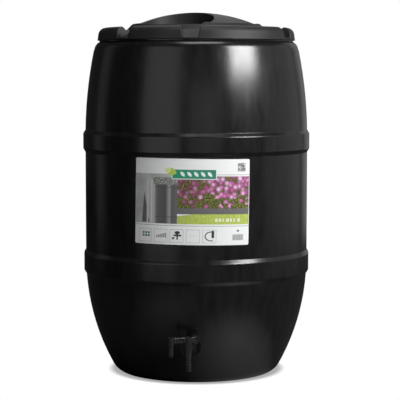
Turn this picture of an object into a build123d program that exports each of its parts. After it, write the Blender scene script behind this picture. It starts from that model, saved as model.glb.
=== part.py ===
"""Rain barrel: a blow-moulded tank with a lift-off lid, a printed label and a lever tap.

Millimetres, +Z up. The origin is the centre of the flat base, on the ground, and the
tap faces -Y. Each physical piece is written as its own STEP file.
"""

import os
from math import asin, cos, radians, sin, sqrt

from build123d import *

# ---------------------------------------------------------------- tank
TANK_R = 251.4
TANK_WALL = 3.5
BASE_R = 173.5
BASE_CORNER_Z = 16.0
BELLY_LOW_R = 500.0
BELLY_LOW_Z = 255.0
BELLY_HIGH_R = 970.0
BELLY_HIGH_Z = 529.0
HOOP_LOW = (222.0, 277.0, 255.5)
HOOP_HIGH = (497.0, 547.0, 256.3)
HOOP_FLANK = 8.0
HOOP_CREST_FILLET = 5.0
HOOP_FOOT_FILLET = 1.5
STEP_Z = 725.0
STEP_DEPTH = 0.8
SHOULDER_Z = 729.0
NECK_R = 218.5
NECK_Z = 743.2
RIM_Z = 747.0
RIM_EDGE = 0.8
MOUTH_R = 203.0
NECK_ROOT = 1.0
NECK_WALL = 2.45
HOOP_FEET = [z for hoop in (HOOP_LOW, HOOP_HIGH) for z in hoop[:2]]
HOOP_CRESTS = [z for hoop in (HOOP_LOW, HOOP_HIGH) for z in (hoop[0] + HOOP_FLANK, hoop[1] - HOOP_FLANK)]

# ---------------------------------------------------------------- lid
TOTAL_HEIGHT = 810.0
LID_WALL = 3.0
LID_GAP = 0.3
LID_BOTTOM_Z = RIM_Z + LID_GAP
LID_R = 223.0
LID_SKIRT_TOP = (221.0, 761.0)
LID_OPEN_DEPTH = 15.0
RIDGE_R = 206.0
RIDGE_Z = 775.2
RIDGE_ROUND = 9.9
GUTTER_Z = 768.0
BEAD_R = 141.0
BEAD_Z = 784.3
BEAD_ROUND = 7.0
DOME_R = 133.0
DOME_Z = 783.6
LID_AZIMUTH = -24.5
POCKET_R = 79.0
POCKET_OFFSET = 97.0
POCKET_FLOOR_Z = 780.0
SCALLOP_R = 45.0
SCALLOP_START = (70.0, 803.1)
SCALLOP_END = (125.0, 783.4)
SCALLOP_LENGTH = 180.0
SCALLOP_FLOOR_Z = 782.6
NOTCH_ANGLES = (-21.5, 21.5, 90.0, 158.5, 201.5, 270.0)
NOTCH_FLOOR_Z = LID_BOTTOM_Z + LID_WALL
NOTCH_RAMP_R = 208.0
NOTCH_END_R = 165.0
NOTCH_SLOPE = 0.535
NOTCH_HALF_FLOOR = 16.5
NOTCH_HALF_TOP = 20.5
NOTCH_TOP_Z = 775.0
NOTCH_CORNER = 5.0
LID_EDGE_FILLET = 2.0
SPIGOT_R = 201.5
SPIGOT_WALL = 3.0
SPIGOT_DROP = 20.0

# ---------------------------------------------------------------- label
LABEL_THICK = 0.4
LABEL_WIDTH = 241.8
LABEL_HEIGHT = 183.0
LABEL_CENTRE_X = -8.0
LABEL_CENTRE_Z = 402.0
LABEL_TILT = 0.8
LABEL_CORNER = 3.0

# ---------------------------------------------------------------- tap
TAP_AZIMUTH = -3.8
INLET_Z = 88.0
NICHE_R = 25.0
NICHE_FACE = 213.0
THREAD_R = 10.4
THREAD_DEPTH = 0.8
THREAD_PITCH = 1.8
STUB_BORE_R = 7.4
STUB_END = 191.0
HOLE_R = 10.9
SEAL_R = 15.5
SEAL_BORE_R = 10.6
SEAL_OUT = 2.8
SEAL_IN = 2.5
FLANGE_R = 16.0
FLANGE_THICK = 4.0
HEX_FLATS = 25.0
HEX_THICK = 6.5
NECK_TUBE_R = 7.2
NECK_BORE_R = 4.6
NUT_FLATS = 30.0
NUT_THICK = 8.0
NUT_FLANGE = 2.0
NUT_FLANGE_R = 17.0
VALVE_Y = 259.0
BARREL_R = 8.0
BARREL_TOP_Z = 96.0
CHAMBER_R = 5.8
CHAMBER_Z = 75.0
CHAMBER_FLOOR = 3.0
SPOUT_R = 6.6
SPOUT_BORE_R = 4.0
SPOUT_TIP_Z = 41.0
BARB_R = 7.9
BARB_ROOT_R = 6.0
BARB_PITCH = 5.2
BARB_COUNT = 3
BARB_LAND = 1.2
BARB_GROOVE = 1.0
PLUG_PLAY = 0.3
PLUG_BORE_R = 3.4
PORT_R = 3.0
PORT_Z = 87.0
STEM_R = 3.8
SQUARE = 5.6
SQUARE_TOP_Z = 108.6
SOCKET_PLAY = 0.2
GLAND_R = 9.2
GLAND_TOP_Z = 99.0
GLAND_SKIRT = 8.0
GLAND_RIBS = 16
GLAND_RIB_R = 0.7
GLAND_RIB_START = 2.5
NECK_PLAY = 0.3
RING_R = 0.55
RING_Z = (79.0, 93.0)
GROOVE_HALF = 0.8
GROOVE_DEPTH = 1.15
LEVER_REST = 23.0
LEVER_LOW_Z = 102.6
LEVER_HIGH_Z = 115.0
LEVER_HALF = 4.6
LEVER_LONG = 38.5
LEVER_SHORT = 15.0
LEVER_FILLET = 1.6
CHANNEL_X = -21.25
CHANNEL_LENGTH = 20.0
CHANNEL_DEPTH = 1.5
HUB_R = 8.5
HUB_LOW_Z = 99.4
GRIP_R = 6.6
GRIP_STEM_R = 6.0
GRIP_TIP_R = 5.2
GRIP_LOW_Z = 72.0
GRIP_COLLAR = 3.0
GRIP_CAP = 0.8
EYE_R = 9.0
EYE_HALF = 4.0
EYE_RIM = 2.2
EYE_DISH = 1.4
SCREW_R = 3.4
SCREW_SHANK_R = 1.5
SCREW_GRIP = 0.1
SCREW_TOP_Z = 114.6
SCREW_TIP_Z = 99.9
HEAD_SEAT_Z = 112.6
SLOT_LENGTH = 4.0
SLOT_WIDTH = 0.9
SLOT_DEPTH = 1.2

# ---------------------------------------------------------------- shared
# half the gap between two pieces that turn or screw into each other
FIT = 0.05
# how far a cutter reaches past the face it cuts through, and past everything around it
PAST = 1.0
CLEAR = 20.0
MIN_Z = (Align.CENTER, Align.CENTER, Align.MIN)


def belly_radius(z, arc_r, arc_z, inset):
    """Radius of a bulging side at height z, with the wall's inside at inset."""
    return TANK_R - arc_r + sqrt((arc_r - inset) ** 2 - (z - arc_z) ** 2)


def low_side(z, inset=0.0):
    """Radius of the side below the lower hoop."""
    return belly_radius(z, BELLY_LOW_R, BELLY_LOW_Z, inset)


def high_side(z, inset=0.0):
    """Radius of the side above the upper hoop."""
    return belly_radius(z, BELLY_HIGH_R, BELLY_HIGH_Z, inset)


def side_arc(radius_at, z_start, z_end, inset):
    """Arc of a bulging side between two heights."""
    heights = (z_start, (z_start + z_end) / 2, z_end)
    return ThreePointArc(*[(radius_at(z, inset), z) for z in heights])


def hoop_points(hoop, inset):
    """Outer corners of a hoop, from its lower flank to its upper one."""
    low, high, radius = hoop
    return [(radius - inset, low + HOOP_FLANK), (radius - inset, high - HOOP_FLANK)]


def corners_at(face, heights):
    """Corners of the wall's outline at the given heights."""
    return [v for v in face.vertices() if any(abs(v.Y - z) < 0.01 for z in heights)]


def tank_solid(inset):
    """Solid of revolution inside the tank's outline, moved in by inset."""
    base_z = inset
    corner_z = BASE_CORNER_Z + inset / 2
    corner = (low_side(corner_z, inset), corner_z)
    lean = asin((BELLY_LOW_Z - corner_z) / (BELLY_LOW_R - inset))
    low = HOOP_LOW
    high = HOOP_HIGH
    straight = TANK_R - inset
    step = (high_side(STEP_Z, inset), STEP_Z)
    shelf = (step[0] - STEP_DEPTH, STEP_Z)
    shoulder = (high_side(SHOULDER_Z, inset) - STEP_DEPTH, SHOULDER_Z)
    neck = (NECK_R + NECK_ROOT - inset, NECK_Z - inset * NECK_WALL / TANK_WALL)
    with BuildPart() as part:
        with BuildSketch(Plane.XZ) as outline:
            with BuildLine():
                Line((0, base_z), (BASE_R - inset / 2, base_z))
                TangentArc(corner, (BASE_R - inset / 2, base_z), tangent=(-sin(lean), -cos(lean)))
                side_arc(low_side, corner_z, low[0], inset)
                Polyline(
                    (low_side(low[0], inset), low[0]),
                    *hoop_points(low, inset),
                    (straight, low[1]),
                    (straight, high[0]),
                    *hoop_points(high, inset),
                    (high_side(high[1], inset), high[1]),
                )
                side_arc(high_side, high[1], STEP_Z, inset)
                Polyline(step, shelf, shoulder)
                TangentArc(shoulder, neck, tangent=(-0.2, 1.0))
                if inset:
                    Polyline(neck, (MOUTH_R, RIM_Z - inset), (0, RIM_Z - inset), (0, base_z))
                else:
                    Polyline(
                        neck,
                        (NECK_R, NECK_Z + RIM_EDGE),
                        (NECK_R, RIM_Z - RIM_EDGE),
                        (NECK_R - RIM_EDGE, RIM_Z),
                        (0, RIM_Z),
                        (0, base_z),
                    )
            make_face()
            fillet(corners_at(outline, HOOP_CRESTS), HOOP_CREST_FILLET)
            fillet(corners_at(outline, HOOP_FEET), HOOP_FOOT_FILLET)
        revolve(axis=Axis.Z)
    return part.part


def along_front(radius, start, end, z=INLET_Z):
    """Cylinder about the inlet's axis, from one distance to another in front of the tank's axis."""
    place = Plane(origin=(0, -start, z), x_dir=(1, 0, 0), z_dir=(0, -1, 0))
    return place * Cylinder(radius, end - start, align=MIN_Z)


def upright(radius, low, high, x=0.0, y=-VALVE_Y):
    """Vertical cylinder between two heights."""
    base = Pos(x, y, low)
    return base * Cylinder(radius, high - low, align=MIN_Z)


def at_tap(shape):
    """Turn a piece drawn straight in front of the tank round to the tap's place."""
    return Rot(0, 0, TAP_AZIMUTH) * shape


def make_tank():
    """Blow-moulded shell: open mouth with an inward rim, two hoops, a flat niche for the tap."""
    outside = tank_solid(0.0) - at_tap(along_front(NICHE_R, NICHE_FACE, TANK_R + CLEAR))
    niche_inside = along_front(NICHE_R + TANK_WALL, NICHE_FACE - TANK_WALL, TANK_R + CLEAR)
    inside = tank_solid(TANK_WALL) - at_tap(niche_inside)
    mouth = upright(MOUTH_R, RIM_Z - TANK_WALL - PAST, RIM_Z + PAST, 0, 0)
    hole = at_tap(along_front(HOLE_R, NICHE_FACE - TANK_WALL - PAST, NICHE_FACE + PAST))
    return outside - inside - mouth - hole


def rounded_crest(radius, z, round_r, side):
    """Point where a crest's rounding meets its 45 degree flank, on the outer (1) or inner (-1) side."""
    return (radius + side * round_r * sin(radians(45)), z - round_r * (1 - cos(radians(45))))


def lid_solid(inset):
    """Solid of revolution inside the lid's outline, moved in by inset: rim ridge, gutter, bead and dome."""
    bottom = LID_BOTTOM_Z - LID_OPEN_DEPTH * inset / LID_WALL
    skirt = (LID_SKIRT_TOP[0] - inset, LID_SKIRT_TOP[1])
    ridge = (RIDGE_R, RIDGE_Z - inset)
    ridge_flank = rounded_crest(*ridge, RIDGE_ROUND - inset, -1)
    gutter_z = GUTTER_Z - inset
    gutter_out = (ridge_flank[0] - ridge_flank[1] + gutter_z, gutter_z)
    bead = (BEAD_R, BEAD_Z - inset)
    bead_flank = rounded_crest(*bead, BEAD_ROUND - inset, 1)
    gutter_in = (bead_flank[0] + bead_flank[1] - gutter_z, gutter_z)
    top = TOTAL_HEIGHT - inset
    rise = TOTAL_HEIGHT - DOME_Z
    dome_arc = (DOME_R ** 2 + rise ** 2) / (2 * rise) - inset
    half = DOME_R / 2
    dome_mid = (half, top - dome_arc + sqrt(dome_arc ** 2 - half ** 2))
    dome_foot = (sqrt(dome_arc ** 2 - (dome_arc - rise) ** 2), DOME_Z - inset)
    with BuildPart() as part:
        with BuildSketch(Plane.XZ):
            with BuildLine():
                Polyline((0, bottom), (LID_R - inset, bottom), skirt)
                TangentArc(skirt, ridge, tangent=(-0.14, 1.0))
                TangentArc(ridge, ridge_flank, tangent=(-1.0, 0.0))
                Polyline(ridge_flank, gutter_out, gutter_in, bead_flank)
                TangentArc(bead_flank, bead, tangent=(-1.0, 1.0))
                Line(bead, dome_foot)
                ThreePointArc(dome_foot, dome_mid, (0, top))
                Line((0, top), (0, bottom))
            make_face()
        revolve(axis=Axis.Z)
    return part.part


def notch_cutter(grow):
    """U-shaped notch with a sloping back, pointing along +X and larger by grow."""
    drop = grow * sqrt(1 + NOTCH_SLOPE ** 2)
    floor_z = NOTCH_FLOOR_Z - grow
    foot_r = NOTCH_RAMP_R - (drop - grow) / NOTCH_SLOPE
    end_r = NOTCH_END_R - grow
    end_z = floor_z + (foot_r - end_r) * NOTCH_SLOPE
    far_r = LID_R + CLEAR
    top_z = RIDGE_Z + CLEAR
    side = Plane.XZ * Polygon(
        (foot_r, floor_z), (far_r, floor_z), (far_r, top_z), (end_r, top_z), (end_r, end_z), align=None
    )
    flare = (NOTCH_HALF_TOP - NOTCH_HALF_FLOOR) / (NOTCH_TOP_Z - NOTCH_FLOOR_Z)
    half_low = NOTCH_HALF_FLOOR + grow
    half_high = half_low + flare * (top_z - floor_z)
    front = Plane.YZ * Polygon(
        (-half_low, floor_z), (half_low, floor_z), (half_high, top_z), (-half_high, top_z), align=None
    )
    run = extrude(front, amount=far_r)
    run = fillet(run.edges().filter_by(Axis.X).group_by(Axis.Z)[0], NOTCH_CORNER + grow)
    return extrude(side, amount=NOTCH_HALF_TOP * 3, both=True) & run


def scallop_cutter(grow):
    """Shallow trough down the dome towards a single notch, pointing along +X."""
    reach = SCALLOP_END[0] - SCALLOP_START[0]
    fall = SCALLOP_START[1] - SCALLOP_END[1]
    length = sqrt(reach ** 2 + fall ** 2)
    along = (reach / length, 0, -fall / length)
    centre = (SCALLOP_START[0] + SCALLOP_R * fall / length, 0, SCALLOP_START[1] + SCALLOP_R * reach / length)
    trough = Plane(origin=centre, x_dir=(0, 1, 0), z_dir=along) * Cylinder(SCALLOP_R + grow, SCALLOP_LENGTH)
    room = Box(SCALLOP_LENGTH, 2 * DOME_R, 2 * DOME_R, align=MIN_Z)
    above = Pos(SCALLOP_END[0], 0, SCALLOP_FLOOR_Z - grow) * room
    return trough & above


def lid_cutters(grow):
    """Every recess in the lid's top, larger by grow."""
    cutters = [Rot(0, 0, angle) * notch_cutter(grow) for angle in NOTCH_ANGLES]
    for angle in (0.0, 180.0):
        pocket = upright(POCKET_R + grow, POCKET_FLOOR_Z - grow, TOTAL_HEIGHT + CLEAR, POCKET_OFFSET, 0)
        cutters.append(Rot(0, 0, angle) * pocket)
    for angle in (90.0, 270.0):
        cutters.append(Rot(0, 0, angle) * scallop_cutter(grow))
    return [Rot(0, 0, LID_AZIMUTH - 90) * cutter for cutter in cutters]


def lid_edges(lid):
    """Edges to round: the dome's own, and those where the notches cut through the ridge."""
    chosen = []
    for edge in lid.edges():
        top = edge.bounding_box().max.Z
        foot = edge.bounding_box().min.Z
        middle = edge @ 0.5
        on_dome = top > BEAD_Z + 1
        far_out = sqrt(middle.X ** 2 + middle.Y ** 2) > RIDGE_R - RIDGE_ROUND
        across_rim = edge.geom_type != GeomType.CIRCLE and foot > NOTCH_FLOOR_Z + 1
        if on_dome or (across_rim and far_out and top <= RIDGE_Z + 0.1):
            chosen.append(edge)
    return chosen


def ring(outer, inner, low, high):
    """Upright ring about the tank's axis."""
    return upright(outer, low, high, 0, 0) - upright(inner, low - PAST, high + PAST, 0, 0)


def make_lid():
    """Thin moulded lid: skirt, notched rim, domed grip bar and a spigot inside the mouth."""
    spigot_low = LID_BOTTOM_Z - SPIGOT_DROP
    outside = lid_solid(0.0)
    for cutter in lid_cutters(0.0):
        outside -= cutter
    outside = fillet(lid_edges(outside), LID_EDGE_FILLET)
    inside = lid_solid(LID_WALL)
    for cutter in lid_cutters(LID_WALL):
        inside -= cutter
    inside -= ring(SPIGOT_R, SPIGOT_R - SPIGOT_WALL, LID_BOTTOM_Z, TOTAL_HEIGHT)
    spigot = ring(SPIGOT_R, SPIGOT_R - SPIGOT_WALL, spigot_low, LID_BOTTOM_Z)
    return outside - inside + spigot


def make_label():
    """Printed film on the straight wall between the hoops, a little out of square."""
    outline = Plane.XZ * RectangleRounded(LABEL_WIDTH, LABEL_HEIGHT, LABEL_CORNER)
    sheet = extrude(outline, amount=TANK_R + CLEAR)
    sheet = Pos(LABEL_CENTRE_X, 0, LABEL_CENTRE_Z) * Rot(0, LABEL_TILT, 0) * sheet
    return ring(TANK_R + LABEL_THICK, TANK_R, HOOP_LOW[1], HOOP_HIGH[0]) & sheet


def make_washer(start, thick):
    """Flat rubber washer on the inlet's thread."""
    end = start + thick
    return at_tap(along_front(SEAL_R, start, end) - along_front(SEAL_BORE_R, start - PAST, end + PAST))


def hexagon(flats, start, end):
    """Hexagonal prism about the inlet's axis."""
    place = Plane(origin=(0, -start, INLET_Z), x_dir=(1, 0, 0), z_dir=(0, -1, 0))
    return extrude(place * RegularPolygon(flats / 2, 6, major_radius=False), amount=end - start)


def make_back_nut():
    """Flanged hexagonal nut inside the tank, clamping the tap to the wall."""
    seat = NICHE_FACE - TANK_WALL - SEAL_IN
    start = seat - NUT_THICK
    nut = hexagon(NUT_FLATS, start, seat - NUT_FLANGE) + along_front(NUT_FLANGE_R, seat - NUT_FLANGE, seat)
    return at_tap(nut - along_front(THREAD_R + FIT, start - PAST, seat + PAST))


def threaded_stub(start, end):
    """Inlet thread, drawn as rings of one pitch."""
    stub = along_front(THREAD_R - THREAD_DEPTH, start, end)
    count = int((end - start) / THREAD_PITCH)
    for turn in range(count):
        low = start + (turn + 0.5) * THREAD_PITCH
        mid = Plane(origin=(0, -low, INLET_Z), x_dir=(1, 0, 0), z_dir=(0, -1, 0))
        crest = mid * Cone(THREAD_R, THREAD_R - THREAD_DEPTH, THREAD_PITCH / 2, align=MIN_Z)
        root = mid * (Rot(180, 0, 0) * Cone(THREAD_R, THREAD_R - THREAD_DEPTH, THREAD_PITCH / 2, align=MIN_Z))
        stub += crest + root
    return stub


def barbs():
    """Hose barbs at the spout's tip."""
    rings = []
    for index in range(BARB_COUNT):
        low = SPOUT_TIP_Z + index * BARB_PITCH
        rise = BARB_PITCH - BARB_LAND - BARB_GROOVE
        cone = Pos(0, -VALVE_Y, low) * Cone(BARB_ROOT_R, BARB_R, rise, align=MIN_Z)
        rings.append(cone + upright(BARB_R, low + rise, low + rise + BARB_LAND))
    return rings


def make_tap_body():
    """Tap body: threaded inlet, flange, spanner hexagon, neck, upright valve barrel and spout."""
    flange_back = NICHE_FACE + SEAL_OUT
    flange_front = flange_back + FLANGE_THICK
    body = threaded_stub(STUB_END, flange_back)
    body += along_front(FLANGE_R, flange_back, flange_front)
    body += hexagon(HEX_FLATS, flange_front, flange_front + HEX_THICK)
    body += along_front(NECK_TUBE_R, flange_front, VALVE_Y)
    body += upright(BARREL_R, CHAMBER_Z - CHAMBER_FLOOR, BARREL_TOP_Z)
    body += upright(SPOUT_R, SPOUT_TIP_Z, CHAMBER_Z)
    for barb in barbs():
        body += barb
    body -= along_front(STUB_BORE_R, STUB_END - PAST, flange_front)
    body -= along_front(NECK_BORE_R, flange_front - PAST, VALVE_Y - CHAMBER_R + PAST)
    body -= upright(CHAMBER_R, CHAMBER_Z, BARREL_TOP_Z + PAST)
    body -= upright(SPOUT_BORE_R, SPOUT_TIP_Z - PAST, CHAMBER_Z + PAST)
    return at_tap(body)


def make_gland_nut():
    """Ribbed collar that closes the valve barrel and keeps the plug down."""
    skirt_low = BARREL_TOP_Z - GLAND_SKIRT
    collar = upright(GLAND_R, skirt_low, GLAND_TOP_Z)
    collar -= upright(BARREL_R + FIT, skirt_low - PAST, BARREL_TOP_Z + PLUG_PLAY)
    collar -= upright(STEM_R + FIT, skirt_low, GLAND_TOP_Z + PAST)
    for index in range(GLAND_RIBS):
        angle = radians(360 / GLAND_RIBS * index)
        x = GLAND_R * cos(angle)
        y = GLAND_R * sin(angle) - VALVE_Y
        collar += upright(GLAND_RIB_R, skirt_low + GLAND_RIB_START, GLAND_TOP_Z, x, y)
    # the neck of the body passes through a slot in the collar's skirt
    return at_tap(collar - along_front(NECK_TUBE_R + NECK_PLAY, NICHE_FACE, VALVE_Y))


def turned_with_lever(shape):
    """Turn a piece drawn at the valve about the valve's axis, to the lever's pose."""
    return Pos(0, -VALVE_Y, 0) * Rot(0, 0, LEVER_REST) * Pos(0, VALVE_Y, 0) * shape


def make_plug():
    """Hollow valve plug with one side port, a round stem and a square drive."""
    radius = CHAMBER_R - FIT
    low = CHAMBER_Z + PLUG_PLAY
    high = BARREL_TOP_Z - PLUG_PLAY
    plug = upright(radius, low, high) + upright(STEM_R, high, HUB_LOW_Z)
    square = Pos(0, -VALVE_Y, HUB_LOW_Z) * Box(SQUARE, SQUARE, SQUARE_TOP_Z - HUB_LOW_Z, align=MIN_Z)
    plug += turned_with_lever(square)
    plug -= upright(PLUG_BORE_R, low - PAST, INLET_Z + PORT_R)
    port = Pos(0, -VALVE_Y, PORT_Z) * Rot(0, 90, 0) * Cylinder(PORT_R, radius + PAST, align=MIN_Z)
    # the port faces the inlet once the lever points straight out from the tank
    plug -= turned_with_lever(port)
    for z in RING_Z:
        low_side_z = z - GROOVE_HALF
        high_side_z = z + GROOVE_HALF
        outer = upright(radius + PAST, low_side_z, high_side_z)
        plug -= outer - upright(radius - GROOVE_DEPTH, low_side_z - PAST, high_side_z + PAST)
    plug -= upright(SCREW_SHANK_R - SCREW_GRIP / 2, HUB_LOW_Z, SQUARE_TOP_Z + PAST)
    return at_tap(plug)


def make_plug_rings():
    """Two O-rings in the plug's grooves."""
    middle = CHAMBER_R - FIT / 2 - RING_R
    rings = [Pos(0, -VALVE_Y, z) * Torus(middle, RING_R) for z in RING_Z]
    return at_tap(Compound(children=rings))


def lever_arm():
    """Channelled bar from the hub to the grip on one side and to the eye on the other."""
    height = LEVER_HIGH_Z - LEVER_LOW_Z
    middle = (LEVER_LOW_Z + LEVER_HIGH_Z) / 2
    bar = Box(LEVER_LONG + LEVER_SHORT, LEVER_HALF * 2, height)
    arm = Pos((LEVER_SHORT - LEVER_LONG) / 2, 0, middle) * bar
    arm = fillet(arm.edges().filter_by(Axis.X), LEVER_FILLET)
    for side in (-1, 1):
        channel = Box(CHANNEL_LENGTH, CHANNEL_DEPTH * 2, height / 2)
        arm -= Pos(CHANNEL_X, side * LEVER_HALF, middle) * channel
    return arm


def lever_grip():
    """Grip that hangs from the long end, tapering to a round tip."""
    collar_low = LEVER_LOW_Z - GRIP_COLLAR
    tip_z = GRIP_LOW_Z + GRIP_TIP_R
    grip = upright(GRIP_R, collar_low, LEVER_HIGH_Z + GRIP_CAP, -LEVER_LONG, 0)
    taper = Cone(GRIP_TIP_R, GRIP_STEM_R, collar_low - tip_z, align=MIN_Z)
    grip += Pos(-LEVER_LONG, 0, tip_z) * taper
    return grip + Pos(-LEVER_LONG, 0, tip_z) * Sphere(GRIP_TIP_R)


def lever_eye():
    """Round disc at the short end, dished on both faces."""
    middle = (LEVER_LOW_Z + LEVER_HIGH_Z) / 2
    eye = Pos(LEVER_SHORT, 0, middle) * Rot(90, 0, 0) * Cylinder(EYE_R, EYE_HALF * 2)
    for side in (-1, 1):
        dish = Rot(90, 0, 0) * Cylinder(EYE_R - EYE_RIM, EYE_DISH * 2)
        eye -= Pos(LEVER_SHORT, side * EYE_HALF, middle) * dish
    return eye


def make_lever():
    """Lever: hub, channelled bar, eye at the short end and a hanging grip at the long end."""
    lever = upright(HUB_R, HUB_LOW_Z, LEVER_HIGH_Z, 0, 0) + lever_arm() + lever_grip() + lever_eye()
    socket_top = SQUARE_TOP_Z + SOCKET_PLAY
    socket_low = HUB_LOW_Z - PAST
    socket = Box(SQUARE + FIT * 2, SQUARE + FIT * 2, socket_top - socket_low, align=MIN_Z)
    lever -= Pos(0, 0, socket_low) * socket
    lever -= upright(SCREW_R + SCREW_GRIP, HEAD_SEAT_Z, LEVER_HIGH_Z + PAST, 0, 0)
    lever -= upright(SCREW_SHANK_R + SCREW_GRIP, HUB_LOW_Z, LEVER_HIGH_Z + PAST, 0, 0)
    return at_tap(turned_with_lever(Pos(0, -VALVE_Y, 0) * lever))


def make_lever_screw():
    """Flat cross-head screw, sunk in the hub, that holds the lever on the plug's square."""
    head_low = HEAD_SEAT_Z + FIT
    screw = upright(SCREW_R, head_low, SCREW_TOP_Z)
    screw += upright(SCREW_SHANK_R - SCREW_GRIP, SCREW_TIP_Z, head_low)
    for turn in (0, 90):
        slot = Box(SLOT_LENGTH, SLOT_WIDTH, SCREW_TOP_Z, align=MIN_Z)
        screw -= Pos(0, -VALVE_Y, SCREW_TOP_Z - SLOT_DEPTH) * Rot(0, 0, turn) * slot
    return at_tap(screw)


PIECES = {
    "barrel_shell": make_tank,
    "lid": make_lid,
    "label": make_label,
    "tap_body": make_tap_body,
    "tap_outer_washer": lambda: make_washer(NICHE_FACE, SEAL_OUT),
    "tap_inner_washer": lambda: make_washer(NICHE_FACE - TANK_WALL - SEAL_IN, SEAL_IN),
    "tap_back_nut": make_back_nut,
    "gland_nut": make_gland_nut,
    "valve_plug": make_plug,
    "plug_o_rings": make_plug_rings,
    "tap_lever": make_lever,
    "lever_screw": make_lever_screw,
}

os.makedirs("parts", exist_ok=True)
for name, make in PIECES.items():
    export_step(make(), "parts/" + name + ".step")
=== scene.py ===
"""Looks for the rain barrel: procedural materials, label artwork, studio light and camera."""

from math import atan2, cos, pi, radians, sin

import bpy
from mathutils import Euler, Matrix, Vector


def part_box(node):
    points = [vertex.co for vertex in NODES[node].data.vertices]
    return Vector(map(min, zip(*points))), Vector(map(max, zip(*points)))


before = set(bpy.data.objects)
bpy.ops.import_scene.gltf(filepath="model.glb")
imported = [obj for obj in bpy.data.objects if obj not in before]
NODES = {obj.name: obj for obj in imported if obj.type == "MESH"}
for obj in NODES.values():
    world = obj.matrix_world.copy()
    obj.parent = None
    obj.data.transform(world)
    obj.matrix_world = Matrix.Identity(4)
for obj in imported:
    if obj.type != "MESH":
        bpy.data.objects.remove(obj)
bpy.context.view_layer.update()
SCENE = bpy.context.scene

# ---------------------------------------------------------------- camera
CAMERA_DISTANCE = 3.421
CAMERA_HEIGHT = 0.670
CAMERA_SIDE = 0.0084
CAMERA_PITCH = 0.0829
CAMERA_LENS = 135.45


def make_camera():
    """Long lens a little below the lid's height, looking along +Y and slightly down."""
    data = bpy.data.cameras.new("camera")
    data.lens = CAMERA_LENS
    data.sensor_width = 36.0
    data.clip_end = 50.0
    camera = bpy.data.objects.new("camera", data)
    camera.location = (CAMERA_SIDE, -CAMERA_DISTANCE, CAMERA_HEIGHT)
    camera.rotation_euler = Euler((pi / 2 - CAMERA_PITCH, 0, 0))
    SCENE.collection.objects.link(camera)
    SCENE.camera = camera


# ---------------------------------------------------------------- shader graphs
class Graph:
    """Short calls that add nodes to one material."""

    def __init__(self, name):
        self.material = bpy.data.materials.new(name)
        self.material.use_nodes = True
        self.tree = self.material.node_tree
        self.shader = self.tree.nodes["Principled BSDF"]

    def node(self, kind, **settings):
        made = self.tree.nodes.new(kind)
        for key, value in settings.items():
            setattr(made, key, value)
        return made

    def put(self, socket, value):
        """Link a socket, or set it to a constant."""
        if isinstance(value, bpy.types.NodeSocket):
            self.tree.links.new(value, socket)
        elif isinstance(value, tuple) and len(value) == 3 and socket.type == "RGBA":
            socket.default_value = (*value, 1.0)
        else:
            socket.default_value = value

    def math(self, operation, *values):
        made = self.node("ShaderNodeMath", operation=operation)
        for socket, value in zip(made.inputs, values):
            self.put(socket, value)
        return made.outputs[0]

    def mix(self, factor, first, second):
        made = self.node("ShaderNodeMix", data_type="RGBA", clamp_factor=True)
        colours = [socket for socket in made.inputs if socket.type == "RGBA"]
        self.put(made.inputs["Factor"], factor)
        self.put(colours[0], first)
        self.put(colours[1], second)
        return next(socket for socket in made.outputs if socket.type == "RGBA")

    def place(self):
        """The piece's own coordinates, which ride with it."""
        return self.node("ShaderNodeTexCoord").outputs["Object"]

    def scaled(self, vector, scale):
        made = self.node("ShaderNodeVectorMath", operation="MULTIPLY")
        self.put(made.inputs[0], vector)
        made.inputs[1].default_value = scale
        return made.outputs[0]

    def noise(self, vector, scale, detail=2.0, roughness=0.5):
        made = self.node("ShaderNodeTexNoise")
        self.put(made.inputs["Vector"], vector)
        made.inputs["Scale"].default_value = scale
        made.inputs["Detail"].default_value = detail
        made.inputs["Roughness"].default_value = roughness
        return made.outputs["Fac"]

    def cells(self, vector, scale, output="Distance"):
        made = self.node("ShaderNodeTexVoronoi")
        self.put(made.inputs["Vector"], vector)
        made.inputs["Scale"].default_value = scale
        return made.outputs[output]

    def remap(self, value, low, high, to_low, to_high):
        made = self.node("ShaderNodeMapRange")
        self.put(made.inputs["Value"], value)
        for key, number in (("From Min", low), ("From Max", high), ("To Min", to_low), ("To Max", to_high)):
            self.put(made.inputs[key], number)
        return made.outputs["Result"]

    def ramp(self, value, stops):
        """Colour ramp through (position, colour) stops."""
        made = self.node("ShaderNodeValToRGB")
        elements = made.color_ramp.elements
        while len(elements) < len(stops):
            elements.new(0.5)
        for element, (position, colour) in zip(elements, stops):
            element.position = position
            element.color = (*colour, 1.0)
        self.put(made.inputs["Fac"], value)
        return made.outputs["Color"]

    def bump(self, height, strength, distance, normal=None):
        made = self.node("ShaderNodeBump")
        made.inputs["Strength"].default_value = strength
        made.inputs["Distance"].default_value = distance
        self.put(made.inputs["Height"], height)
        if normal is not None:
            self.put(made.inputs["Normal"], normal)
        return made.outputs["Normal"]

    def finish(self, colour, roughness, normal=None, metallic=0.0, specular=0.5):
        self.put(self.shader.inputs["Base Color"], colour)
        self.put(self.shader.inputs["Roughness"], roughness)
        self.shader.inputs["Metallic"].default_value = metallic
        self.shader.inputs["Specular IOR Level"].default_value = specular
        if normal is not None:
            self.put(self.shader.inputs["Normal"], normal)
        return self.material


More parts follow.
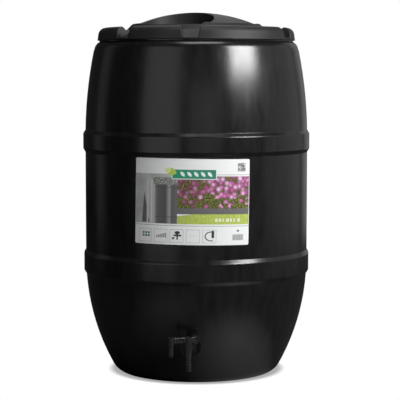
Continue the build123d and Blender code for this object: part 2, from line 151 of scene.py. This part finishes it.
# ---------------------------------------------------------------- plastics, rubber and steel
def blow_moulded():
    """Waxy black polyethylene: soft orange peel, faint vertical flow and dusty scuffs."""
    g = Graph("blow_moulded_black")
    place = g.place()
    peel = g.noise(place, 160.0, 3.0, 0.55)
    swell = g.noise(g.scaled(place, (9.0, 9.0, 2.2)), 1.0, 2.0)
    scuff = g.noise(g.scaled(place, (60.0, 60.0, 14.0)), 1.0, 6.0, 0.65)
    colour = g.ramp(scuff, [(0.35, (0.0060, 0.0060, 0.0065)), (0.80, (0.0120, 0.0120, 0.0127))])
    roughness = g.remap(scuff, 0.30, 0.75, 0.20, 0.28)
    normal = g.bump(swell, 0.35, 0.0040)
    normal = g.bump(peel, 0.10, 0.0006, normal)
    return g.finish(colour, roughness, normal)


def lid_plastic():
    """Injection-moulded lid with a fine spark-eroded grain and lighter rubbed patches."""
    g = Graph("grained_black_lid")
    place = g.place()
    grain = g.noise(place, 900.0, 2.0, 0.6)
    rubbed = g.noise(place, 26.0, 5.0, 0.62)
    colour = g.ramp(rubbed, [(0.35, (0.0100, 0.0100, 0.0104)), (0.75, (0.0200, 0.0200, 0.0206))])
    roughness = g.remap(rubbed, 0.3, 0.7, 0.50, 0.60)
    normal = g.bump(grain, 0.22, 0.0004)
    return g.finish(colour, roughness, normal, specular=0.38)


def tap_plastic():
    """Hard black polypropylene with a light satin grain."""
    g = Graph("satin_black_tap")
    place = g.place()
    grain = g.noise(place, 1500.0, 2.0, 0.5)
    wear = g.noise(place, 140.0, 4.0, 0.6)
    colour = g.ramp(wear, [(0.35, (0.0060, 0.0060, 0.0065)), (0.75, (0.0140, 0.0140, 0.0145))])
    roughness = g.remap(wear, 0.3, 0.7, 0.34, 0.46)
    return g.finish(colour, roughness, g.bump(grain, 0.12, 0.0002))


def valve_plastic():
    """Smooth acetal of the plug, with fine turning marks."""
    g = Graph("smooth_acetal")
    place = g.place()
    rings = g.noise(g.scaled(place, (20.0, 20.0, 2200.0)), 1.0, 1.0)
    colour = g.ramp(rings, [(0.3, (0.030, 0.030, 0.032)), (0.7, (0.045, 0.045, 0.048))])
    return g.finish(colour, g.remap(rings, 0.3, 0.7, 0.25, 0.35), g.bump(rings, 0.10, 0.0001))


def seal_rubber():
    """Matt black rubber with a dusty bloom."""
    g = Graph("seal_rubber")
    place = g.place()
    bloom = g.noise(place, 260.0, 5.0, 0.7)
    colour = g.ramp(bloom, [(0.35, (0.012, 0.012, 0.012)), (0.80, (0.035, 0.034, 0.033))])
    return g.finish(colour, g.remap(bloom, 0.3, 0.7, 0.7, 0.9), g.bump(bloom, 0.3, 0.0003))


def plated_steel():
    """Bright plated screw with brushed rings and dull spots."""
    g = Graph("plated_steel")
    place = g.place()
    brushed = g.noise(g.scaled(place, (300.0, 2400.0, 300.0)), 1.0, 2.0)
    colour = g.ramp(brushed, [(0.3, (0.46, 0.46, 0.48)), (0.7, (0.68, 0.68, 0.70))])
    return g.finish(colour, g.remap(brushed, 0.3, 0.7, 0.24, 0.42), g.bump(brushed, 0.15, 0.0001), 1.0)


# ---------------------------------------------------------------- label artwork
LABEL_LOW, LABEL_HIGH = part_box("label")
LABEL_RADIUS = -LABEL_LOW.y
LABEL_TILT = radians(0.8)
LABEL_MIDDLE_Z = (LABEL_LOW.z + LABEL_HIGH.z) / 2
# share of the radius at which the label's left and right ends lie in front of the axis
LEFT_END = 0.86
RIGHT_END = 0.895
LABEL_TURN = (atan2(LABEL_LOW.x, LABEL_RADIUS * LEFT_END) + atan2(LABEL_HIGH.x, LABEL_RADIUS * RIGHT_END)) / 2
MM = 1000.0

# the artwork's own sizes are in millimetres from the label's middle
RULE_HALF = 126.5
PICTURE_LEFT = -125.5
PICTURE_RIGHT = 125.0
PICTURE_TOP = 58.5
PICTURE_LOW = -47.0
PICTURE_SPLIT = -31.0
HEDGE_LOW = -13.0
HEDGE_HIGH = 55.0
FLOWER = 9.5
FLOWER_EDGE = 0.86
KERB_LOW = -26.0
DRUM = (-80.0, PICTURE_SPLIT, 40.0)
BANNER = (-42.0, 51.0, 49.5, 68.5)
BANNER_LEAVES = 5
BANNER_STEP = 14.5
ICON_COUNT = 5
ICON_LEFT = -116.8
ICON_STEP = 35.1
ICON_WIDTH = 29.6
ICON_LOW = -87.0
ICON_HIGH = -58.5


def label_axes(g):
    """Flat coordinates on the label in millimetres: U to the right, V upwards, 0 at its middle."""
    split = g.node("ShaderNodeSeparateXYZ")
    g.put(split.inputs[0], g.place())
    x, y, z = split.outputs
    turn = g.math("ARCTAN2", x, g.math("MULTIPLY", y, -1.0))
    across = g.math("MULTIPLY", g.math("SUBTRACT", turn, LABEL_TURN), LABEL_RADIUS * MM)
    up = g.math("MULTIPLY", g.math("SUBTRACT", z, LABEL_MIDDLE_Z), MM)
    lean = g.math("MULTIPLY", up, -sin(LABEL_TILT))
    u = g.math("MULTIPLY_ADD", across, cos(LABEL_TILT), lean)
    rise = g.math("MULTIPLY", up, cos(LABEL_TILT))
    v = g.math("MULTIPLY_ADD", across, sin(LABEL_TILT), rise)
    return u, v


class Artwork:
    """Layers of flat colour painted over one another on the label."""

    def __init__(self, g, paper):
        self.g = g
        self.u, self.v = label_axes(g)
        joined = g.node("ShaderNodeCombineXYZ")
        g.put(joined.inputs[0], self.u)
        g.put(joined.inputs[1], self.v)
        self.flat = joined.outputs[0]
        self.colour = paper

    def box_mask(self, left, right, low, high):
        g = self.g
        inside_u = g.math("COMPARE", self.u, (left + right) / 2, (right - left) / 2)
        inside_v = g.math("COMPARE", self.v, (low + high) / 2, (high - low) / 2)
        return g.math("MULTIPLY", inside_u, inside_v)

    def disc_mask(self, u, v, radius, stretch=1.0):
        g = self.g
        du = g.math("DIVIDE", g.math("SUBTRACT", self.u, u), stretch)
        dv = g.math("SUBTRACT", self.v, v)
        reach = g.math("SQRT", g.math("ADD", g.math("MULTIPLY", du, du), g.math("MULTIPLY", dv, dv)))
        return g.math("LESS_THAN", reach, radius)

    def paint(self, mask, colour):
        self.colour = self.g.mix(mask, self.colour, colour)

    def box(self, left, right, low, high, colour):
        self.paint(self.box_mask(left, right, low, high), colour)

    def frame(self, left, right, low, high, line, colour):
        """Outline of a rectangle, line wide."""
        g = self.g
        outer = self.box_mask(left, right, low, high)
        inner = self.box_mask(left + line, right - line, low + line, high - line)
        self.paint(g.math("SUBTRACT", outer, inner), colour)


def flower_heads(art):
    """Round flower heads: distance from the head's middle, and two random numbers of its own."""
    g = art.g
    wobble = g.noise(g.scaled(art.flat, (0.9, 0.9, 1.0)), 1.0, 2.0, 0.6)
    cell = g.node("ShaderNodeTexVoronoi")
    g.put(cell.inputs["Vector"], g.scaled(art.flat, (1.0 / FLOWER, 1.0 / FLOWER, 1.0)))
    cell.inputs["Scale"].default_value = 1.0
    reach = g.math("ADD", cell.outputs["Distance"], g.math("MULTIPLY", wobble, 0.35))
    split = g.node("ShaderNodeSeparateXYZ")
    g.put(split.inputs[0], cell.outputs["Color"])
    return reach, split.outputs[0], split.outputs[1]


def paint_hedge(art):
    """Flowering hedge: bright heads at the top right, dusky at the left, leaves towards the ground."""
    g = art.g
    reach, own, other = flower_heads(art)
    leaf_noise = g.noise(g.scaled(art.flat, (0.30, 0.30, 1.0)), 1.0, 4.0, 0.75)
    leaves = g.ramp(
        leaf_noise,
        [(0.38, (0.006, 0.010, 0.003)), (0.50, (0.065, 0.085, 0.016)), (0.60, (0.340, 0.330, 0.080))],
    )
    bright = g.ramp(own, [(0.0, (0.50, 0.08, 0.28)), (0.5, (0.76, 0.26, 0.56)), (1.0, (0.88, 0.56, 0.82))])
    dusky = g.ramp(own, [(0.0, (0.20, 0.05, 0.09)), (0.5, (0.46, 0.18, 0.29)), (1.0, (0.66, 0.42, 0.56))])
    petals = g.mix(g.remap(art.u, 0.0, 60.0, 0.0, 1.0), dusky, bright)
    petals = g.mix(g.remap(reach, 0.38, 0.80, 0.0, 0.80), petals, (0.12, 0.03, 0.05))
    height = g.remap(art.v, HEDGE_LOW, HEDGE_HIGH - 28.0, 0.16, 1.15)
    side = g.remap(art.u, -30.0, 120.0, -0.10, 0.10)
    present = g.math("LESS_THAN", other, g.math("ADD", height, side))
    inside = g.math("LESS_THAN", reach, FLOWER_EDGE)
    hedge = g.mix(g.math("MULTIPLY", present, inside), leaves, petals)
    art.paint(art.box_mask(PICTURE_SPLIT, PICTURE_RIGHT, HEDGE_LOW, HEDGE_HIGH), hedge)


def paint_garden(art):
    """Kerb and lawn under the hedge, with a pale strip of small blocks on the lawn."""
    g = art.g
    speckle = g.noise(g.scaled(art.flat, (0.6, 0.9, 1.0)), 1.0, 4.0, 0.7)
    kerb = g.ramp(speckle, [(0.35, (0.085, 0.080, 0.085)), (0.70, (0.22, 0.21, 0.215))])
    art.box(PICTURE_SPLIT, PICTURE_RIGHT, KERB_LOW, HEDGE_LOW, kerb)
    blades = g.noise(g.scaled(art.flat, (0.35, 0.12, 1.0)), 1.0, 5.0, 0.7)
    grass = g.ramp(blades, [(0.30, (0.30, 0.40, 0.045)), (0.70, (0.62, 0.70, 0.18))])
    edge = g.remap(art.u, PICTURE_SPLIT, 5.0, KERB_LOW - 4.5, KERB_LOW + 0.5)
    below = g.math("LESS_THAN", art.v, edge)
    lawn = art.box_mask(PICTURE_SPLIT, PICTURE_RIGHT, PICTURE_LOW, KERB_LOW + 1.0)
    art.paint(g.math("MULTIPLY", below, lawn), grass)
    for index in range(7):
        left = 50.0 + index * 8.2
        art.box(left, left + 5.6 - (index % 3) * 1.3, -41.5, -34.5, (0.80, 0.83, 0.66))


def paint_drum(art):
    """Tall dark drum with two bright upright reflections and plants on top of it."""
    g = art.g
    left, right, top = DRUM
    body = g.ramp(
        g.remap(art.u, left, right, 0.0, 1.0),
        [(0.0, (0.26, 0.26, 0.26)), (0.12, (0.115, 0.116, 0.118)), (0.48, (0.075, 0.076, 0.078)),
         (0.66, (0.34, 0.34, 0.35)), (0.76, (0.105, 0.106, 0.110)), (1.0, (0.14, 0.145, 0.15))],
    )
    art.box(left, right, PICTURE_LOW, top, body)
    for low in (-33.0, 30.0):
        art.box(left, right, low, low + 1.2, (0.070, 0.070, 0.070))
    foliage = g.noise(g.scaled(art.flat, (0.32, 0.36, 1.0)), 1.0, 4.0, 0.75)
    clump = g.ramp(
        foliage,
        [(0.36, (0.045, 0.048, 0.04)), (0.52, (0.24, 0.25, 0.22)), (0.64, (0.66, 0.67, 0.64))],
    )
    ragged = g.math("ADD", g.math("MULTIPLY", foliage, 16.0), 44.0)
    over = g.math("LESS_THAN", art.v, ragged)
    art.paint(g.math("MULTIPLY", over, art.box_mask(left - 4.0, right - 2.0, top - 4.0, top + 16.0)), clump)


def paint_yard(art):
    """Grey scene at the left: wall, a leaning shadow, two downpipes and the drum."""
    g = art.g
    patch = g.noise(g.scaled(art.flat, (0.05, 0.03, 1.0)), 1.0, 4.0, 0.6)
    wall = g.ramp(patch, [(0.30, (0.36, 0.37, 0.37)), (0.70, (0.54, 0.55, 0.55))])
    art.box(PICTURE_LEFT, PICTURE_SPLIT, PICTURE_LOW, PICTURE_TOP, wall)
    lean = g.remap(art.v, -46.0, 20.0, -101.0, -105.0)
    spread = g.remap(art.v, -46.0, 20.0, 9.0, 0.0)
    wedge = g.math("LESS_THAN", g.math("ABSOLUTE", g.math("SUBTRACT", art.u, lean)), spread)
    art.paint(g.math("MULTIPLY", wedge, art.box_mask(-125.0, -90.0, -45.0, 20.0)), (0.11, 0.115, 0.12))
    for left, width, shade in ((-99.0, 4.0, 0.60), (-91.0, 7.5, 0.50), (-88.5, 2.0, 0.70)):
        art.box(left, left + width, -46.0, 46.0, (shade, shade, shade))
    paint_drum(art)


def paint_banner(art):
    """Plain green banner with a row of pale leaves on it and a two-tone leaf at its left end."""
    g = art.g
    left, right, low, high = BANNER
    edge = 1.5
    art.box(left - edge, right + edge, low - edge, high + edge, (0.86, 0.90, 0.88))
    along = g.remap(art.u, left, right, 0.0, 1.0)
    shade = g.ramp(along, [(0.0, (0.020, 0.30, 0.16)), (1.0, (0.030, 0.22, 0.16))])
    art.box(left, right, low, high, shade)
    middle_v = (low + high) / 2
    for index in range(BANNER_LEAVES):
        middle_u = left + 22.0 + index * BANNER_STEP
        lower = art.disc_mask(middle_u - 3.6, middle_v - 3.4, 8.4)
        upper = art.disc_mask(middle_u + 3.6, middle_v + 3.4, 8.4)
        art.paint(g.math("MULTIPLY", lower, upper), (0.78, 0.90, 0.84))
    leaf = g.math("MULTIPLY", art.disc_mask(-48.0, 57.0, 15.5), art.disc_mask(-44.0, 72.0, 15.5))
    art.paint(leaf, (0.46, 0.62, 0.11))
    vein = g.math("MULTIPLY", leaf, art.disc_mask(-56.0, 70.0, 11.0))
    art.paint(vein, (0.68, 0.80, 0.34))


def paint_icons(art):
    """Five outlined boxes with generic signs, and two grey patches like printed codes."""
    g = art.g
    ink = (0.030, 0.035, 0.040)
    teal = (0.030, 0.13, 0.12)
    line = (0.44, 0.50, 0.49)
    for index in range(ICON_COUNT):
        left = ICON_LEFT + index * ICON_STEP
        art.frame(left, left + ICON_WIDTH, ICON_LOW, ICON_HIGH, 0.9, line)
    for column in range(3):
        for row in range(2):
            u = -108.0 + column * 6.2
            art.box(u, u + 4.4, -75.5 + row * 6.0, -71.2 + row * 6.0, teal)
    for index in range(5):
        u = -76.0 + index * 4.6
        art.box(u, u + 2.6, -76.5, -72.0 + index * 1.3, (0.10, 0.14, 0.14))
    art.box(-38.0, -21.5, -73.0, -69.6, ink)
    art.box(-31.5, -28.5, -80.5, -66.0, ink)
    art.paint(art.disc_mask(-30.0, -65.5, 3.4, 1.7), ink)
    art.paint(art.disc_mask(-39.0, -77.5, 2.6), teal)
    art.box(-4.0, 12.0, -73.0, -72.2, (0.60, 0.66, 0.62))
    ring = g.math("SUBTRACT", art.disc_mask(42.5, -72.5, 10.5, 1.35), art.disc_mask(42.5, -72.5, 8.6, 1.38))
    art.paint(g.math("MULTIPLY", ring, art.box_mask(26.0, 46.0, -84.0, -60.0)), ink)
    art.box(43.0, 48.5, -76.0, -60.5, ink)
    dots = g.cells(g.scaled(art.flat, (0.55, 0.55, 1.0)), 1.0, "Color")
    split = g.node("ShaderNodeSeparateXYZ")
    g.put(split.inputs[0], dots)
    code = g.ramp(split.outputs[1], [(0.35, (0.10, 0.10, 0.11)), (0.55, (0.62, 0.63, 0.64))])
    art.box(98.5, 117.0, 65.5, 83.5, code)
    stripes = g.noise(g.scaled(art.flat, (0.9, 0.0, 1.0)), 1.0, 2.0, 0.8)
    bars = g.ramp(stripes, [(0.44, (0.16, 0.16, 0.17)), (0.56, (0.70, 0.70, 0.71))])
    art.box(88.5, 113.0, -81.0, -68.5, bars)
    art.paint(art.disc_mask(101.0, -61.0, 2.2, 1.3), (0.12, 0.13, 0.14))


def printed_label():
    """Satin printed film with the whole artwork, a faint paper fibre and a soft gloss."""
    g = Graph("printed_label")
    fibre = g.noise(g.place(), 700.0, 3.0, 0.6)
    paper = g.ramp(fibre, [(0.3, (0.84, 0.86, 0.85)), (0.7, (0.90, 0.91, 0.91))])
    art = Artwork(g, paper)
    art.box(-RULE_HALF, RULE_HALF, PICTURE_TOP - 1.0, PICTURE_TOP + 0.4, (0.40, 0.44, 0.44))
    paint_yard(art)
    paint_hedge(art)
    paint_garden(art)
    art.box(-RULE_HALF, RULE_HALF, PICTURE_LOW - 4.4, PICTURE_LOW - 3.2, (0.25, 0.42, 0.39))
    paint_banner(art)
    paint_icons(art)
    normal = g.bump(fibre, 0.05, 0.0001)
    return g.finish(art.colour, g.remap(fibre, 0.3, 0.7, 0.38, 0.46), normal)


# ---------------------------------------------------------------- stage
FLOOR_RADIUS = 6.0
FLOOR_CORNERS = 96
FLOOR_PAINTED_SHADOW_REACH = 0.022
# painted pools of light on the floor: centre, reach and emission strength of each glowing patch, for rays
# other than the camera's
FLOOR_PAINTED_LIGHT_POOLS = (((0.185, -0.285, 0.0), 0.23, 0.62), ((-0.27, -0.56, 0.0), 0.36, 0.20))


def area_light(name, azimuth, elevation, distance, width, height, power, aim=(0.0, 0.0, 0.45)):
    """Soft panel on a sphere about the aim; azimuth 0 is in front, positive to the right."""
    data = bpy.data.lights.new(name, "AREA")
    data.shape = "RECTANGLE"
    data.size = width
    data.size_y = height
    data.energy = power
    lamp = bpy.data.objects.new(name, data)
    turn = radians(azimuth)
    tip = radians(elevation)
    away = Vector((sin(turn) * cos(tip), -cos(turn) * cos(tip), sin(tip)))
    lamp.location = Vector(aim) + away * distance
    lamp.rotation_euler = away.to_track_quat("Z", "Y").to_euler()
    lamp.visible_camera = False
    SCENE.collection.objects.link(lamp)
    return lamp


def make_lights():
    """Key from the right, tall panels at both sides, and soft fills above and behind."""
    middle = (0.0, 0.0, 0.65)
    area_light("key_right", 52.0, 23.5, 2.6, 1.20, 0.78, 80.0, aim=middle)
    area_light("high_front", 14.0, 73.0, 3.0, 1.6, 1.2, 32.0, aim=middle)
    area_light("top_back", 180.0, 50.0, 2.6, 1.6, 1.4, 11.0, aim=middle)
    area_light("panel_left", -35.0, 6.0, 2.6, 1.7, 2.4, 9.4, aim=middle)
    area_light("panel_front", 8.0, 4.0, 4.6, 2.6, 2.0, 7.5)
    area_light("panel_right", 100.0, 6.0, 2.6, 3.0, 2.6, 8.4, aim=(0.0, 0.0, 0.55))
    area_light("panel_rear_right", 148.0, 8.0, 2.8, 1.2, 2.4, 3.0, aim=middle)
    area_light("panel_back", 180.0, 8.0, 3.0, 1.2, 2.4, 9.0, aim=middle)
    area_light("panel_rear_left", -112.0, 8.0, 3.0, 0.8, 2.2, 0.9, aim=middle)


def make_world():
    """White surround for the eye, nearly dark for the light on the object."""
    world = bpy.data.worlds.new("studio")
    world.use_nodes = True
    SCENE.world = world
    tree = world.node_tree
    dim = tree.nodes["Background"]
    dim.inputs["Color"].default_value = (1.0, 1.0, 1.0, 1.0)
    dim.inputs["Strength"].default_value = 0.03
    bright = tree.nodes.new("ShaderNodeBackground")
    bright.inputs["Color"].default_value = (1.0, 1.0, 1.0, 1.0)
    bright.inputs["Strength"].default_value = 1.0
    path = tree.nodes.new("ShaderNodeLightPath")
    mix = tree.nodes.new("ShaderNodeMixShader")
    tree.links.new(path.outputs["Is Camera Ray"], mix.inputs[0])
    tree.links.new(dim.outputs[0], mix.inputs[1])
    tree.links.new(bright.outputs[0], mix.inputs[2])
    tree.links.new(mix.outputs[0], tree.nodes["World Output"].inputs["Surface"])


def floor_with_painted_light_pools(g, dull):
    """The dull floor with painted pools of light in front of the object: glowing emission patches that stand
    in for the lamps' light on the floor.
    """
    surface = dull.outputs[0]
    for centre, reach, strength in FLOOR_PAINTED_LIGHT_POOLS:
        away = g.node("ShaderNodeVectorMath", operation="DISTANCE")
        g.put(away.inputs[0], g.place())
        away.inputs[1].default_value = centre
        # painted pool of light: emission that fades out from the patch's centre
        patch = g.node("ShaderNodeEmission")
        g.put(patch.inputs["Strength"], g.remap(away.outputs["Value"], 0.0, reach, strength, 0.0))
        both = g.node("ShaderNodeAddShader")
        g.put(both.inputs[0], surface)
        g.put(both.inputs[1], patch.outputs[0])
        surface = both.outputs[0]
    return surface


def make_floor():
    """Pale floor that blends into the white surround, with a painted soft shadow where the object stands."""
    g = Graph("pale_floor")
    # painted contact shadow: ambient occlusion near the object dims the floor's glow seen by the camera
    shade = g.node("ShaderNodeAmbientOcclusion", samples=16)
    shade.inputs["Distance"].default_value = FLOOR_PAINTED_SHADOW_REACH
    floor_glow_with_painted_shadow = g.remap(shade.outputs["AO"], 0.40, 0.90, 0.42, 1.0)
    glow = g.node("ShaderNodeEmission")
    g.put(glow.inputs["Strength"], floor_glow_with_painted_shadow)
    mottle = g.noise(g.place(), 3.0, 4.0, 0.5)
    dull = g.node("ShaderNodeBsdfDiffuse")
    g.put(dull.inputs["Color"], g.ramp(mottle, [(0.3, (0.045, 0.045, 0.045)), (0.7, (0.055, 0.055, 0.055))]))
    path = g.node("ShaderNodeLightPath")
    mix = g.node("ShaderNodeMixShader")
    g.put(mix.inputs[0], path.outputs["Is Camera Ray"])
    g.put(mix.inputs[1], floor_with_painted_light_pools(g, dull))
    g.put(mix.inputs[2], glow.outputs[0])
    g.put(g.tree.nodes["Material Output"].inputs["Surface"], mix.outputs[0])
    mesh = bpy.data.meshes.new("floor")
    turns = [2 * pi * index / FLOOR_CORNERS for index in range(FLOOR_CORNERS)]
    corners = [(FLOOR_RADIUS * cos(turn), FLOOR_RADIUS * sin(turn), 0.0) for turn in turns]
    mesh.from_pydata(corners, [], [tuple(range(FLOOR_CORNERS))])
    mesh.materials.append(g.material)
    floor = bpy.data.objects.new("floor", mesh)
    SCENE.collection.objects.link(floor)


# ---------------------------------------------------------------- the object
def dress(material, *names):
    """Give CAD nodes a finished material."""
    for name in names:
        slots = NODES[name].data.materials
        slots.clear()
        slots.append(material)


def dress_nodes():
    dress(blow_moulded(), "barrel_shell")
    dress(lid_plastic(), "lid")
    dress(printed_label(), "label")
    dress(tap_plastic(), "tap_body", "tap_back_nut", "gland_nut", "tap_lever")
    dress(valve_plastic(), "valve_plug")
    dress(seal_rubber(), "tap_outer_washer", "tap_inner_washer", "plug_o_rings")
    dress(plated_steel(), "lever_screw")


make_camera()
make_world()
make_lights()
make_floor()
dress_nodes()
SCENE.view_settings.view_transform = "Standard"
